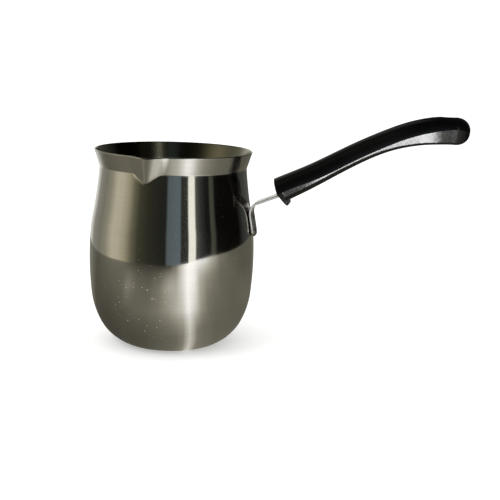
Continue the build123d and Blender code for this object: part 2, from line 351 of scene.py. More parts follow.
def pot_mesh(name):
    """The pot's outer wall, rounded rim, inner wall and floor as one closed mesh."""
    line = pot_line()
    azimuths = spout_azimuths()
    columns = len(azimuths)
    outer = np.zeros((len(line), columns, 3))
    for i, (radius, height) in enumerate(line):
        level = height - rim_dip(azimuths, height)
        reach = pushed_radius(radius, level, azimuths)
        outer[i, :, 0] = reach * np.cos(azimuths)
        outer[i, :, 1] = reach * np.sin(azimuths)
        outer[i, :, 2] = level
    up = np.gradient(outer, axis=0)
    wrapped = np.concatenate([outer[:, -1:], outer, outer[:, :1]], axis=1)
    around = wrapped[:, 2:] - wrapped[:, :-2]
    normal = np.cross(around, up)
    normal /= np.linalg.norm(normal, axis=2, keepdims=True)
    inner = outer - WALL * normal
    # rounded rim: half circle between the two walls
    up_last = outer[-1] - outer[-2]
    up_last -= (up_last * normal[-1]).sum(1, keepdims=True) * normal[-1]
    up_last /= np.linalg.norm(up_last, axis=1, keepdims=True)
    middle = outer[-1] - WALL / 2 * normal[-1]
    rim = [
        middle + WALL / 2 * (cos(a) * normal[-1] + sin(a) * up_last)
        for a in np.linspace(0, pi, 11)[1:-1]
    ]
    rows = list(outer) + rim + list(inner[::-1])
    points = np.concatenate(rows)
    faces = grid_faces(len(rows), columns)
    base, floor = len(points), len(points) + 1
    last = (len(rows) - 1) * columns
    for j in range(columns):
        k = (j + 1) % columns
        faces.append((base, k, j))
        faces.append((floor, last + j, last + k))
    points = np.concatenate([points, [[0, 0, 0], [0, 0, WALL]]])
    item = mesh_object(name, points, faces, 60.0)
    # the inside, which is satin and darkened with painted shade, starts in the middle of the rounded rim
    within = np.zeros(len(points), np.float32)
    within[(len(outer) + len(rim) // 2) * columns :] = 1.0
    within[base] = 0.0
    item.data.attributes.new("inside", "FLOAT", "POINT").data.foreach_set("value", within)
    return item


def body_radius(height):
    """Radius and slope of the outer wall at a height under the neck."""
    upper = pot_line()[len(BASE_RINGS) :]
    radius = float(np.interp(height, upper[:, 1], upper[:, 0]))
    slope = float(np.interp(height + 0.5, upper[:, 1], upper[:, 0])) - radius
    return radius, 2 * slope


# ---- strap geometry ---------------------------------------------------------------------------
def strap_corners():
    """Corners of the strap's middle line in side view: foot, bend, entry and tongue end."""
    touch_r, slope = body_radius(FOOT_TOUCH_Z)
    foot_x = touch_r + (STRAP_T / 2 + STRAP_GAP) * sqrt(1 + slope**2)
    rise = tan(radians(TONGUE_RISE))
    corner_z = (ENTRY[1] + rise * (foot_x - slope * FOOT_TOUCH_Z - ENTRY[0])) / (1 - rise * slope)
    corner = (foot_x + slope * (corner_z - FOOT_TOUCH_Z), corner_z)
    foot = (foot_x + slope * (FOOT_BOTTOM_Z - FOOT_TOUCH_Z), FOOT_BOTTOM_Z)
    grip = radians(GRIP_ANGLE)
    end = (ENTRY[0] + TONGUE_INSIDE * cos(grip), ENTRY[1] + TONGUE_INSIDE * sin(grip))
    return [np.array(p, float) for p in (foot, corner, ENTRY, end)]


def rounded_path(corners, radius):
    """Line through the corners with each inner corner rounded, as points and unit tangents."""
    points, tangents = [], []

    def straight(a, b):
        length = np.linalg.norm(b - a)
        for share in np.linspace(0, 1, max(2, int(length / 1.0) + 1)):
            points.append(a + share * (b - a))
            tangents.append((b - a) / length)

    place = corners[0]
    for before, corner, after in zip(corners, corners[1:], corners[2:]):
        come = (corner - before) / np.linalg.norm(corner - before)
        leave = (after - corner) / np.linalg.norm(after - corner)
        turn = np.arctan2(come[0] * leave[1] - come[1] * leave[0], come @ leave)
        trim = radius * tan(abs(turn) / 2)
        straight(place, corner - trim * come)
        side = np.sign(turn)
        centre = corner - trim * come + side * radius * np.array([-come[1], come[0]])
        heading = np.arctan2(come[1], come[0])
        for share in np.linspace(0, 1, max(4, int(abs(turn) * radius / 0.35)))[1:-1]:
            h = heading + share * turn
            points.append(centre + side * radius * np.array([sin(h), -cos(h)]))
            tangents.append(np.array([cos(h), sin(h)]))
        place = corner + trim * leave
    straight(place, corners[-1])
    return np.array(points), np.array(tangents)


def strap_mesh(name):
    """Bent strip with rounded corners and softly broken edges."""
    path, tangents = rounded_path(strap_corners(), BEND_R)
    along = distances(path)
    total = along[-1]
    ends = STRAP_CORNER_R * (1 - np.cos(np.radians(np.arange(0, 91, 7.5))))
    inside = along[(along > STRAP_CORNER_R + 0.4) & (along < total - STRAP_CORNER_R - 0.4)]
    stations = np.unique(np.round(np.concatenate([ends, inside, total - ends]), 4))
    rings = []
    for s in stations:
        place, t = line_at(s, path, tangents, along)
        near = max(0.0, min(s, total - s))
        half = STRAP_W / 2
        if near < STRAP_CORNER_R:
            half += sqrt(STRAP_CORNER_R**2 - (STRAP_CORNER_R - near) ** 2) - STRAP_CORNER_R
        thin = STRAP_T / 2 - 0.5 * max(0.0, STRAP_EDGE_R - near)
        e = min(STRAP_EDGE_R, thin)
        corners = ((half - e, thin - e, 0), (-half + e, thin - e, 90))
        corners += ((-half + e, -thin + e, 180), (half - e, -thin + e, 270))
        ring = []
        for y, n, start in corners:
            ring += arc_points((y, n), e, start, start + 90, 5)
            if start in (0, 180):
                y, n = ring[-1]
                ring += [(flat, n) for flat in np.linspace(y, -y, 14)[1:-1]]
        rings += [(place[0] - n * t[1], y, place[1] + n * t[0]) for y, n in ring]
    columns = len(rings) // len(stations)
    faces = grid_faces(len(stations), columns)
    faces.append(tuple(range(columns)))
    faces.append(tuple(reversed(range(len(rings) - columns, len(rings)))))
    return mesh_object(name, rings, faces)


def side_matrix(x, z, across, normal):
    """Frame at a point of the XZ plane from its local X and Z axes, given as (x, z) pairs."""
    ax, az = Vector((across[0], 0, across[1])), Vector((normal[0], 0, normal[1]))
    matrix = Matrix((ax, az.cross(ax), az)).transposed().to_4x4()
    matrix.translation = (x, 0, z)
    return matrix


def tongue_matrix(along):
    """Frame at a place on the tongue, with Z out of the tongue's top."""
    grip = radians(GRIP_ANGLE)
    x, z = ENTRY[0] + along * cos(grip), ENTRY[1] + along * sin(grip)
    return side_matrix(x, z, (cos(grip), sin(grip)), (-sin(grip), cos(grip)))


def weld_matrix(height):
    """Frame on the foot's middle line at a height, with Z away from the pot."""
    touch_r, slope = body_radius(FOOT_TOUCH_Z)
    x = touch_r + (STRAP_T / 2 + STRAP_GAP) * sqrt(1 + slope**2) + slope * (height - FOOT_TOUCH_Z)
    lean = atan2(-slope, 1.0)
    return side_matrix(x, height, (sin(lean), -cos(lean)), (cos(lean), sin(lean)))


# ---- handle geometry --------------------------------------------------------------------------
def grip_line():
    """Close points, unit tangents and distances along the handle's middle line."""
    knots = np.array(GRIP_PATH, float)
    spans = np.linalg.norm(np.diff(knots, axis=0), axis=1)
    n = len(knots)
    system, right = np.zeros((n, n)), np.zeros((n, 2))
    system[0, 0] = system[-1, -1] = 1.0
    grip = radians(GRIP_ANGLE)
    right[0] = (cos(grip), sin(grip))
    right[-1] = GRIP_END_SLOPE
    for i in range(1, n - 1):
        a, b = spans[i - 1], spans[i]
        system[i, i - 1], system[i, i], system[i, i + 1] = b, 2 * (a + b), a
        right[i] = 3 * (b * (knots[i] - knots[i - 1]) / a + a * (knots[i + 1] - knots[i]) / b)
    slopes = np.linalg.solve(system, right)
    points = []
    for i in range(n - 1):
        h = spans[i]
        for t in np.linspace(0, 1, 60, endpoint=(i == n - 2)):
            points.append(hermite(t, knots[i], knots[i + 1], h * slopes[i], h * slopes[i + 1]))
    points = np.array(points)
    tangents = np.gradient(points, axis=0)
    return points, tangents / np.linalg.norm(tangents, axis=1, keepdims=True), distances(points)


def grip_ring(half_height, half_width, ridge, round_r, drop, spread):
    """Section across the handle as (sideways, up) points: a side, the underside, a side, the dome."""
    foot_y = -half_height - drop
    foot_x = half_width - (ridge + half_height) * tan(radians(SIDE_DRAFT)) + spread
    slant = np.array([foot_x - half_width, foot_y - ridge])
    length = np.linalg.norm(slant)
    slant /= length
    first = atan2(slant[0], -slant[1])
    trim = round_r * tan((pi / 2 + first) / 2)
    top = np.array([half_width, ridge])
    shares = (0.0, 0.015, 0.05, 0.12, 0.25, 0.45, 0.65, 0.82, 0.93)
    half = [tuple(top + slant * (length - trim) * share) for share in shares]
    half += arc_points((foot_x - trim, foot_y + round_r), round_r, degrees(first), -90, 14)
    flat = [(x, foot_y) for x in np.linspace(half[-1][0], -half[-1][0], 12)[1:-1]]
    left = [(-x, y) for x, y in reversed(half)]
    near = [0.012, 0.035, 0.08]
    turns = near + list(np.linspace(0.16, pi - 0.16, 40)) + [pi - a for a in reversed(near)]
    dome = [(-half_width * cos(a), ridge + (half_height - ridge) * sin(a)) for a in turns]
    return np.array(half + flat + left + dome)


def grip_mesh(name):
    """Moulded handle: a domed bar with a ridge on each side, a finger guard and a rounded end."""
    line, tangents, along = grip_line()
    total = along[-1]
    table = smooth_table(GRIP_SECTIONS)

    def middle(s):
        """Place and tangent of the middle line, which runs on straight past its ends."""
        held = np.clip(s, 0, total)
        place, t = line_at(held, line, tangents, along)
        return place + (s - held) * t, t

    def ring_at(s):
        """Section across the handle at a distance along it, with the lip and the closing end."""
        share = s / total
        half_height, half_width, ridge = table(share)
        fade = np.clip((LIP_LENGTH + 0.4 - s) / 0.6, 0, 1)
        fade = fade * fade * (3 - 2 * fade)
        end = np.clip((share - GRIP_END[0]) / (GRIP_END[1] - GRIP_END[0]), 0, 0.9999)
        round_r = np.interp(share, *zip(*UNDERSIDE_R)) * (1 - 0.5 * fade)
        section = grip_ring(half_height, half_width, ridge, round_r, LIP_DEPTH * fade, LIP_SPREAD * fade)
        section *= (1 - end**2) ** GRIP_END_POWER
        place, t = middle(s)
        points = np.zeros((len(section), 3))
        points[:, 0] = place[0] - section[:, 1] * t[1]
        points[:, 1] = -section[:, 0]
        points[:, 2] = place[1] + section[:, 1] * t[0]
        return points

    grip = radians(GRIP_ANGLE)
    axis, rise = np.array([cos(grip), sin(grip)]), np.array([-sin(grip), cos(grip)])

    def face_reach(points):
        """Distance of each point, along the handle, from the two-plane end face."""
        rel = points[:, [0, 2]] - np.array(CREASE)
        height = rel @ rise
        lean = np.where(height > 0, tan(radians(FACE_DRAFTS[0])), tan(radians(FACE_DRAFTS[1])))
        return rel @ axis - np.sqrt((height * lean) ** 2 + 0.01) + 0.1

    # the outline where the sides meet the end face, with a rounded edge
    start = ring_at(0.0)
    direction = np.array([axis[0], 0, axis[1]])
    base = start - np.outer(face_reach(start), direction)
    centre = base.mean(0)
    inward = centre - base
    inward -= np.outer(inward @ direction, direction)
    inward /= np.linalg.norm(inward, axis=1, keepdims=True)
    rings = []
    for share in (0.0, 0.25, 0.5, 0.7, 0.84, 0.93):
        flat = base + (centre - base) * (1 - share * 0.9 - 0.02)
        flat -= np.outer(face_reach(flat), direction)
        rings.append(flat)
    for a in np.radians(np.linspace(90, 0, 7)):
        moved = base + FACE_EDGE_R * (1 - cos(a)) * inward
        moved -= np.outer(face_reach(moved), direction)
        rings.append(moved + FACE_EDGE_R * (1 - sin(a)) * direction)
    lip_end = np.arange(LIP_LENGTH - 0.2, LIP_LENGTH + 0.6, 0.08)
    stations = np.concatenate([lip_end, np.arange(4.5, total * GRIP_END[0], 0.9)])
    side_start = base + FACE_EDGE_R * direction
    reach = (side_start[:, [0, 2]] - np.array(GRIP_PATH[0])) @ axis
    for share in (0.25, 0.5, 0.75):
        ring = np.zeros_like(base)
        for k, r in enumerate(reach):
            ring[k] = ring_at(r + share * (stations[0] - r))[k]
        rings.append(ring)
    for s in stations:
        rings.append(ring_at(s))
    ease = np.sin(np.radians(np.linspace(0, 88, 26)))
    for s in total * (GRIP_END[0] + (GRIP_END[1] - GRIP_END[0]) * ease):
        rings.append(ring_at(s))
    columns = len(base)
    faces = grid_faces(len(rings), columns)
    points = np.concatenate(rings)
    tip, front = len(points), len(points) + 1
    place, _ = middle(total * GRIP_END[1])
    face_centre = centre[None] - np.outer(face_reach(centre[None]), direction)
    points = np.concatenate([points, [[place[0], 0, place[1]]], face_centre])
    last = (len(rings) - 1) * columns
    for j in range(columns):
        k = (j + 1) % columns
        faces.append((tip, last + j, last + k))
        faces.append((front, k, j))
    return mesh_object(name, points, faces)


def hang_matrix():
    """Frame at the hanging hole, with Z up through the handle."""
    line, tangents, along = grip_line()
    place, t = line_at(HANG_HOLE_SHARE * along[-1], line, tangents, along)
    return side_matrix(place[0], place[1], (t[0], t[1]), (-t[1], t[0]))


# ---- materials --------------------------------------------------------------------------------
class Shade:
    """Short ways to add nodes to a material."""

    def __init__(self, name):
        self.material = bpy.data.materials.new(name)
        self.material.use_nodes = True
        self.tree = self.material.node_tree
        self.tree.nodes.clear()
        self.output = self.node("ShaderNodeOutputMaterial")

    def node(self, kind, links=None, **settings):
        """A node with its settings; links maps input names to values or to other nodes' outputs."""
        item = self.tree.nodes.new(kind)
        for key, value in settings.items():
            setattr(item, key, value)
        for key, value in (links or {}).items():
            self.feed(item.inputs[key], value)
        return item

    def feed(self, socket, value):
        if isinstance(value, bpy.types.NodeSocket):
            self.tree.links.new(value, socket)
        else:
            socket.default_value = value

    def place(self, scale=(1.0, 1.0, 1.0)):
        """Position on the object in metres, stretched along its axes."""
        source = self.node("ShaderNodeTexCoord").outputs["Object"]
        if scale == (1.0, 1.0, 1.0):
            return source
        return self.node("ShaderNodeMapping", {"Vector": source, "Scale": scale}).outputs[0]

    def noise(self, vector, scale, detail=2.0, roughness=0.5):
        links = {"Vector": vector, "Scale": scale, "Detail": detail, "Roughness": roughness}
        return self.node("ShaderNodeTexNoise", links).outputs["Fac"]

    def spread(self, value, low, high, new_low, new_high):
        """Value moved from one range to another and held inside it."""
        links = {"Value": value, "From Min": low, "From Max": high, "To Min": new_low, "To Max": new_high}
        return self.node("ShaderNodeMapRange", links).outputs["Result"]

    def maths(self, operation, a, b=0.0):
        return self.node("ShaderNodeMath", {0: a, 1: b}, operation=operation).outputs[0]

    def mix(self, share, a, b):
        """Colour between two colours."""
        item = self.node("ShaderNodeMix", data_type="RGBA")
        self.feed(item.inputs[0], share)
        self.feed(item.inputs[6], a)
        self.feed(item.inputs[7], b)
        return item.outputs[2]

    def bump(self, height, distance, strength=1.0, normal=None):
        links = {"Height": height, "Distance": distance, "Strength": strength}
        if normal is not None:
            links["Normal"] = normal
        return self.node("ShaderNodeBump", links).outputs["Normal"]

    def gloss(self, links):
        return self.node("ShaderNodeBsdfPrincipled", links).outputs[0]

    def finish(self, shader):
        self.tree.links.new(shader, self.output.inputs["Surface"])
        return self.material


def colour(values):
    """Opaque colour from its red, green and blue."""
    return (*values[:3], 1.0)


DRIP_AT = (-0.003, -0.049, 0.032)  # middle of the specks under the spout, in metres


def pot_steel(name, tint, haze):
    """Polished steel, lightly brushed around the pot, with a satin flare, and a satin inside darkened with
    painted shade.
    """
    s = Shade(name)
    place = s.place()
    parts = s.node("ShaderNodeSeparateXYZ", {"Vector": place}).outputs
    around = s.node("ShaderNodeCombineXYZ", {"X": parts[0], "Y": parts[1], "Z": 0.0}).outputs[0]
    radius = s.node("ShaderNodeVectorMath", {0: around}, operation="LENGTH").outputs["Value"]
    # brush lines run around the pot, so they change along its wall and hardly around it
    wall = s.maths("MULTIPLY", s.maths("ADD", parts[2], radius), 90.0)
    fine_at = s.node("ShaderNodeCombineXYZ", {"X": parts[0], "Y": parts[1], "Z": wall}).outputs[0]
    fine = s.noise(fine_at, 28.0, 3.0, 0.6)
    broad = s.noise(fine_at, 9.0, 2.0, 0.5)
    cloud = s.noise(place, 34.0, 3.0, 0.6)
    wave = s.noise(place, 24.0, 1.0, 0.4)
    flare = s.spread(parts[2], 0.1035, 0.1055, 0.0, 1.0)
    # dried specks: a patch of them under the spout, tiny ones elsewhere
    cells = s.node("ShaderNodeTexVoronoi", {"Vector": place, "Scale": 400.0}, feature="F1")
    size = s.node("ShaderNodeSeparateColor", {"Color": cells.outputs["Color"]}).outputs
    drip = s.node("ShaderNodeVectorMath", {0: place, 1: DRIP_AT}, operation="DISTANCE").outputs["Value"]
    patch = s.spread(drip, 0.014, 0.028, 1.0, 0.3)
    rare = s.maths("MULTIPLY", s.spread(size[0], 0.2, 1.0, 0.05, 0.19), patch)
    speck = s.maths("LESS_THAN", cells.outputs["Distance"], rare)
    normal = s.bump(wave, 0.0003, 0.35)
    normal = s.bump(fine, 0.000004, 0.3, normal)
    normal = s.bump(cloud, 0.00002, 0.3, normal)
    base = s.mix(s.spread(broad, 0.3, 0.7, 0.0, 1.0), colour(tint), colour([0.97 * c for c in tint]))
    inside = s.node("ShaderNodeAttribute", attribute_name="inside").outputs["Fac"]
    # painted shade: the inside's steel colour is darkened to half, and a little more in blue
    base = s.mix(inside, base, colour([c * w for c, w in zip(tint, (0.5, 0.5, 0.4))]))
    flare = s.maths("MAXIMUM", flare, inside)
    rough = s.maths("ADD", s.spread(cloud, 0.3, 0.7, 0.04, 0.08), s.maths("MULTIPLY", flare, 0.12))
    rough = s.maths("ADD", rough, s.maths("MULTIPLY", speck, 0.25))
    speck = s.maths("MULTIPLY", speck, s.maths("SUBTRACT", 1.0, inside))
    base = s.mix(speck, base, (0.42, 0.41, 0.37, 1.0))
    metal = s.maths("SUBTRACT", 1.0, s.maths("MULTIPLY", speck, 0.75))
    polished = s.gloss({"Base Color": base, "Metallic": metal, "Roughness": rough, "Normal": normal})
    tangent = s.node("ShaderNodeTangent", direction_type="RADIAL", axis="Z").outputs[0]
    brushed = s.gloss(
        {
            "Base Color": base,
            "Metallic": 1.0,
            "Roughness": s.spread(broad, 0.3, 0.7, 0.36, 0.5),
            "Anisotropic": 0.85,
            "Anisotropic Rotation": 0.25,
            "Tangent": tangent,
            "Normal": normal,
        }
    )
    share = s.spread(cloud, 0.3, 0.7, 0.8 * haze, 1.2 * haze)
    share = s.maths("ADD", share, s.maths("MULTIPLY", flare, 0.12))
    return s.finish(s.node("ShaderNodeMixShader", {0: share, 1: polished, 2: brushed}).outputs[0])


def strip_steel(name, tint):
    """Rolled strip: a grain along the strap and a few rubbed patches."""
    s = Shade(name)
    grain = s.noise(s.place((60.0, 900.0, 60.0)), 3.0, 3.0, 0.6)
    cloud = s.noise(s.place(), 90.0, 3.0, 0.6)
    base = s.mix(s.spread(cloud, 0.35, 0.7, 0.0, 1.0), colour(tint), colour([0.8 * c for c in tint]))
    normal = s.bump(grain, 0.00002, 0.5)
    rough = s.maths("ADD", s.spread(cloud, 0.3, 0.7, 0.16, 0.3), s.spread(grain, 0.3, 0.7, -0.03, 0.05))
    links = {"Base Color": base, "Metallic": 1.0, "Roughness": rough, "Anisotropic": 0.4, "Normal": normal}
    return s.finish(s.gloss(links))


def weld_steel(name, tint):
    """Pressed weld marks with a faint straw and blue tint from the heat."""
    s = Shade(name)
    cloud = s.noise(s.place(), 700.0, 3.0, 0.6)
    warm = s.mix(s.spread(cloud, 0.35, 0.65, 0.0, 1.0), colour(tint), (0.42, 0.33, 0.22, 1.0))
    base = s.mix(s.spread(s.noise(s.place(), 420.0), 0.5, 0.7, 0.0, 0.5), warm, (0.2, 0.22, 0.3, 1.0))
    normal = s.bump(cloud, 0.00006, 0.7)
    rough = s.spread(cloud, 0.3, 0.7, 0.3, 0.5)
    return s.finish(s.gloss({"Base Color": base, "Metallic": 1.0, "Roughness": rough, "Normal": normal}))


def screw_steel(name, tint):
    """Plated screw with fine turning marks."""
    s = Shade(name)
    cloud = s.noise(s.place(), 500.0, 3.0, 0.6)
    base = s.mix(s.spread(cloud, 0.35, 0.65, 0.0, 1.0), colour(tint), colour([0.75 * c for c in tint]))
    normal = s.bump(s.noise(s.place(), 2500.0), 0.00002, 0.5)
    rough = s.spread(cloud, 0.3, 0.7, 0.22, 0.38)
    return s.finish(s.gloss({"Base Color": base, "Metallic": 1.0, "Roughness": rough, "Normal": normal}))


def black_moulding(name, tint, stipple):
    """Glossy black moulding with a fine stipple and hand wear."""
    s = Shade(name)
    place = s.place()
    fine = s.noise(place, 1500.0, 2.0, 0.6)
    coarse = s.noise(place, 420.0, 2.0, 0.5)
    wear = s.noise(place, 45.0, 4.0, 0.6)
    base = s.mix(s.spread(wear, 0.4, 0.75, 0.0, 1.0), colour(tint), colour([1.7 * c for c in tint]))
    rough = s.maths("ADD", s.spread(wear, 0.3, 0.7, 0.13, 0.2), s.spread(fine, 0.3, 0.7, -0.02, 0.05))
    normal = s.bump(coarse, 0.00006, 0.25 * stipple)
    normal = s.bump(fine, 0.00003, 0.5 * stipple, normal)
    links = {
        "Base Color": base,
        "Roughness": rough,
        "Normal": normal,
        "IOR": 1.5,
        "Specular IOR Level": 0.45,
        "Coat Weight": 0.05,
        "Coat Roughness": 0.1,
    }
    return s.finish(s.gloss(links))


# ---- settings ---------------------------------------------------------------------------------
def tint_property(name, text, value):
    """A colour setting."""
    return bpy.props.FloatVectorProperty(
        name=name, description=text, default=value, subtype="COLOR", size=3, min=0.0, max=1.0
    )


class CoffeePotSettings(bpy.types.PropertyGroup):
    """Colours and finish of the coffee pot and its studio."""

    steel_tint: tint_property("Steel", "Colour of the pot's steel", (0.66, 0.645, 0.6))
    strap_tint: tint_property("Strap", "Colour of the strap's steel", (0.62, 0.61, 0.59))
    handle_tint: tint_property("Handle", "Colour of the handle's moulding", (0.0015, 0.0015, 0.0015))
    haze: bpy.props.FloatProperty(
        name="Haze",
        description="Share of the pot's steel that is brushed and not polished",
        default=0.05,
        min=0.0,
        max=1.0,
        subtype="FACTOR",
    )
    stipple: bpy.props.FloatProperty(
        name="Stipple",
        description="Strength of the fine texture on the handle",
        default=2.6,
        min=0.0,
        max=3.0,
    )
    floor_size: bpy.props.FloatProperty(
        name="Floor size",
        description="Width of the pale floor",
        default=14.0,
        min=1.0,
        max=30.0,
        unit="LENGTH",
    )
    light_power: bpy.props.FloatProperty(
        name="Light",
        description="Strength of the soft studio lights",
        default=1.0,
        min=0.0,
        max=4.0,
    )


def dress(item, shade, node):
    """Checks that the CAD node exists, gives a finished piece its material, material slot and body, and
    hides the CAD node that it stands for.
    """
    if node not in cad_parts:
        raise LooksError(f"the packed part has no node called {node}")
    item.data.materials.clear()
    item.data.materials.append(shade)
    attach(item, "root")
    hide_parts(node)


# ---- pieces -----------------------------------------------------------------------------------
class COFFEEPOT_OT_pot(bpy.types.Operator):
    """Drawn steel pot with its flared rim and pinched spout"""

    bl_idname = "coffeepot.pot"
    bl_label = "Pot"

    def execute(self, context):
        settings = context.scene.coffee_pot
        pot = pot_mesh("pot")
        dress(pot, pot_steel("pot_steel", settings.steel_tint, settings.haze), "pot_body")
        return {"FINISHED"}


class COFFEEPOT_OT_strap(bpy.types.Operator):
    """Steel strap with its two spot welds"""

    bl_idname = "coffeepot.strap"
    bl_label = "Strap"

    def execute(self, context):
        settings = context.scene.coffee_pot
        strap = strap_mesh("strap")
        hole = [(0, -1.6), (WELD_R, -1.6), (WELD_R, 0.55), (WELD_R + 0.2, 0.75)]
        hole += [(WELD_R + 0.2, 1.6), (0, 1.6)]
        for height in WELD_HEIGHTS:
            cut(strap, lathe("weld_hole", hole, 48, weld_matrix(height)))
        bore = [(0, -1.6), (TONGUE_HOLE_R, -1.6), (TONGUE_HOLE_R, 1.6), (0, 1.6)]
        cut(strap, lathe("screw_hole", bore, 48, tongue_matrix(SCREW_AT)))
        dress(strap, strip_steel("strap_steel", settings.strap_tint), "handle_strap")
        r = WELD_R - 0.02
        mark = [(0, -0.7), (r, -0.7), (r, 0.34), (r - 0.05, 0.45), (r - 0.2, 0.5)]
        mark += [(r - 0.45, 0.47), (r - 0.8, 0.37), (r - 1.3, 0.33), (0, 0.32)]
        nuggets = [lathe("weld", mark, 48, weld_matrix(height)) for height in WELD_HEIGHTS]
        with context.temp_override(active_object=nuggets[0], selected_editable_objects=nuggets):
            bpy.ops.object.join()
        nuggets[0].name = "welds"
        dress(nuggets[0], weld_steel("weld_steel", settings.strap_tint), "spot_welds")
        return {"FINISHED"}


class COFFEEPOT_OT_handle(bpy.types.Operator):
    """Moulded handle with its slot, screw pocket and hanging hole"""

    bl_idname = "coffeepot.handle"
    bl_label = "Handle"

    def execute(self, context):
        settings = context.scene.coffee_pot
        grip = grip_mesh("grip")
        half = STRAP_W / 2 + SLOT_ROOM
        sides = (-STRAP_T / 2 - SLOT_ROOM, STRAP_T / 2)
        spans = ((-10.0, TONGUE_INSIDE + SLOT_ROOM), (-half, half), sides)
        cut(grip, box("slot", spans, tongue_matrix(0)))
        bore = SCREW_R + 0.05
        pocket = [(0, -20.0), (SCREW_POCKET_R, -20.0), (SCREW_POCKET_R, -SCREW_SEAT), (bore, -SCREW_SEAT)]
        pocket += [(bore, SCREW_TOP + 0.5), (0, SCREW_TOP + 0.5)]
        cut(grip, lathe("pocket", pocket, 64, tongue_matrix(SCREW_AT)))
        r = HANG_HOLE_R
        hole = [(0, -10.0), (r + 1.2, -10.0), (r + 1.2, -7.8), (r + 0.7, -7.35), (r + 0.3, -7.0)]
        hole += [(r + 0.07, -6.6), (r, -6.2), (r, 5.6), (r + 0.1, 6.1), (r + 0.35, 6.6)]
        hole += [(r + 0.8, 7.0), (r + 1.4, 7.3), (r + 1.8, 10.0), (0, 10.0)]
        cut(grip, lathe("hanging_hole", hole, 96, hang_matrix()))
        shade = black_moulding("handle_black", settings.handle_tint, settings.stipple)
        dress(grip, shade, "handle_grip")
        return {"FINISHED"}


class COFFEEPOT_OT_screw(bpy.types.Operator):
    """Pan-head screw that holds the handle on the tongue"""

    bl_idname = "coffeepot.screw"
    bl_label = "Screw"

    def execute(self, context):
        settings = context.scene.coffee_pot
        seat, head = -SCREW_SEAT, -SCREW_SEAT - SCREW_HEAD_T
        corner = (SCREW_HEAD_R - SCREW_HEAD_ROUND, head + SCREW_HEAD_ROUND)
        line = [(0, head)] + arc_points(corner, SCREW_HEAD_ROUND, -90, 0, 8)
        line += [(SCREW_HEAD_R, seat), (SCREW_R, seat), (SCREW_R, SCREW_TOP - SCREW_CHAMFER)]
        line += [(SCREW_R - SCREW_CHAMFER, SCREW_TOP), (0, SCREW_TOP)]
        at = tongue_matrix(SCREW_AT)
        screw = lathe("screw", line, 64, at)
        length, width, depth = CROSS_SIZE
        spans = ((-length / 2, length / 2), (-width / 2, width / 2), (head - 1.0, head + depth))
        for turn in (45, 135):
            cut(screw, box("cross", spans, at @ Matrix.Rotation(radians(turn), 4, "Z")))
        dress(screw, screw_steel("screw_steel", settings.strap_tint), "handle_screw")
        return {"FINISHED"}


# ---- studio -----------------------------------------------------------------------------------
CAMERA_AT = (0.12788, -0.57553, 0.176963)
CAMERA_AIM = (0.046084, 0.006477, 0.056226)
CAMERA_LENS = 72.27  # millimetres, for a sensor 36 mm wide
CAMERA_ROLL = 1.9  # degrees
WORLD_STRENGTH = 1.12
FLOOR_LIFT = 0.35  # share of its own light that keeps the floor pale
CEILING_Z = 0.9
CEILING_GLOW = 0.006
KEY_POWER = 6.0  # watts
# small lights that reach one piece only: name, piece, place, aim, width and height, watts
PIECE_LIGHTS = (
    ("handle_light", "grip", (0.133, -0.125, 0.03), (0.125, -0.01, 0.12), (0.038, 0.08), 0.24),
    ("strap_light", "strap", (0.0, -0.30, 0.03), (0.055, -0.007, 0.075), (0.2, 0.12), 0.075),
)
# the wall of the reflection surround, which glows with painted reflections: azimuth in degrees, distance in
# metres, brightness by colour
SURROUND = (
    (-232.0, 0.36, 0.85, 0.85, 0.80),
    (-222.0, 0.36, 0.70, 0.70, 0.66),
    (-211.0, 0.35, 0.32, 0.31, 0.28),
    (-191.0, 0.34, 0.25, 0.24, 0.20),
    (-176.0, 0.34, 0.36, 0.34, 0.27),
    (-163.0, 0.34, 0.64, 0.60, 0.47),
    (-152.0, 0.34, 0.62, 0.57, 0.44),
    (-142.0, 0.34, 0.45, 0.42, 0.30),
    (-132.0, 0.34, 0.17, 0.16, 0.11),
    (-123.0, 0.34, 0.062, 0.062, 0.04),
    (-110.0, 0.34, 0.034, 0.035, 0.024),
    (-86.5, 0.345, 0.016, 0.016, 0.015),
    (-83.5, 0.35, 0.12, 0.15, 0.17),
    (-68.0, 0.36, 0.14, 0.18, 0.21),
    (-65.5, 0.37, 0.022, 0.022, 0.02),
    (-57.2, 0.39, 0.03, 0.03, 0.026),
    (-55.7, 0.40, 1.25, 1.25, 1.15),
    (-47.8, 0.43, 1.25, 1.25, 1.15),
    (-46.0, 0.44, 0.10, 0.10, 0.09),
    (-40.0, 0.45, 0.04, 0.04, 0.04),
    (-31.0, 0.47, 0.005, 0.006, 0.008),
    (-26.0, 0.48, 0.006, 0.006, 0.006),
    (-24.0, 0.48, 0.075, 0.08, 0.062),
    (-19.5, 0.48, 0.07, 0.072, 0.06),
    (-16.0, 0.48, 0.002, 0.002, 0.002),
    (25.0, 0.50, 0.003, 0.002, 0.002),
    (39.0, 0.50, 0.045, 0.05, 0.048),
    (64.0, 0.50, 0.09, 0.09, 0.08),
    (82.0, 0.48, 0.12, 0.12, 0.11),
    (92.0, 0.45, 0.85, 0.85, 0.80),
    (128.0, 0.36, 0.85, 0.85, 0.80),
)
SURROUND_FADE = ((0.0, 1.0), (0.2, 1.0), (0.3, 0.3), (CEILING_Z, 0.12))  # height, share of brightness
